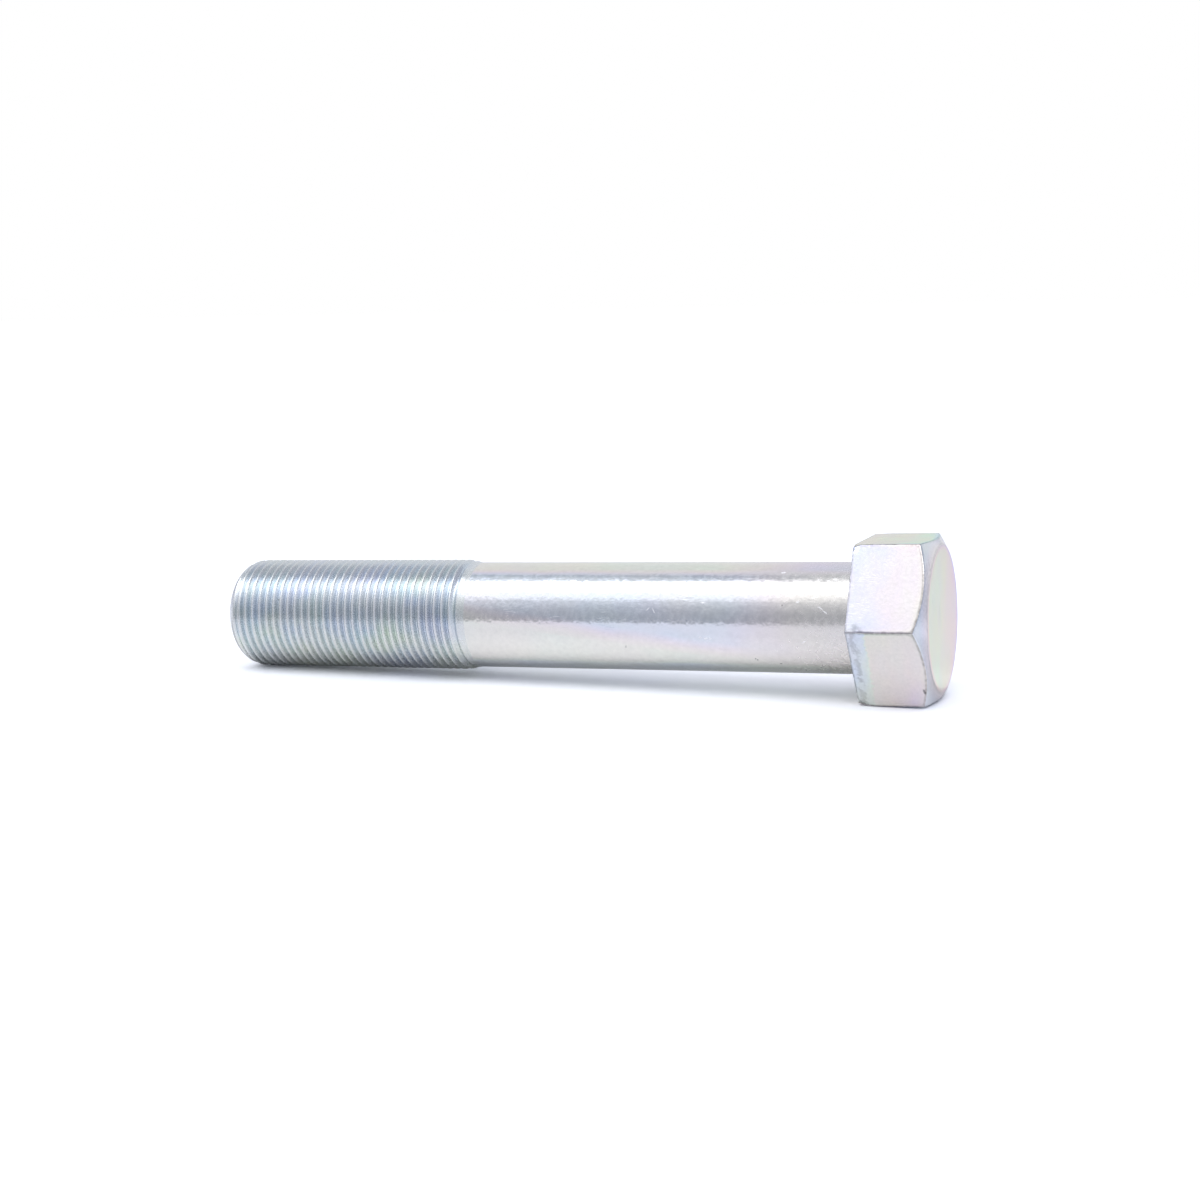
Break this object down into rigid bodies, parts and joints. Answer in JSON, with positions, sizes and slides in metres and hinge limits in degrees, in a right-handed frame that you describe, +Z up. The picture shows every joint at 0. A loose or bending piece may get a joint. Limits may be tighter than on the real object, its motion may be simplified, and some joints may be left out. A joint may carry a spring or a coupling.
{
  "type": "hexagon bolt",
  "caption": "Long hexagon bolt with a reduced plain shank, a fine right-hand thread on its end and a chamfered small-series head, lying on its side.",
  "frame": {"origin": "under the middle of the bolt as it lies at rest, at the height of the surface it lies on", "axes": "+X along the bolt from the tip to the head, in level projection (the axis itself rises 1.72 degrees towards the head); +Y across the bolt; +Z up"},
  "size_m": [0.1336, 0.0312, 0.0274],
  "materials": {
    "zinc_plated_steel": "bright zinc plating with a clear iridescent passivation, satin on the forged faces and brighter on the rolled thread"
  },
  "bodies": {
    "root": {"bolt": "zinc_plated_steel"}
  },
  "joints": []
}
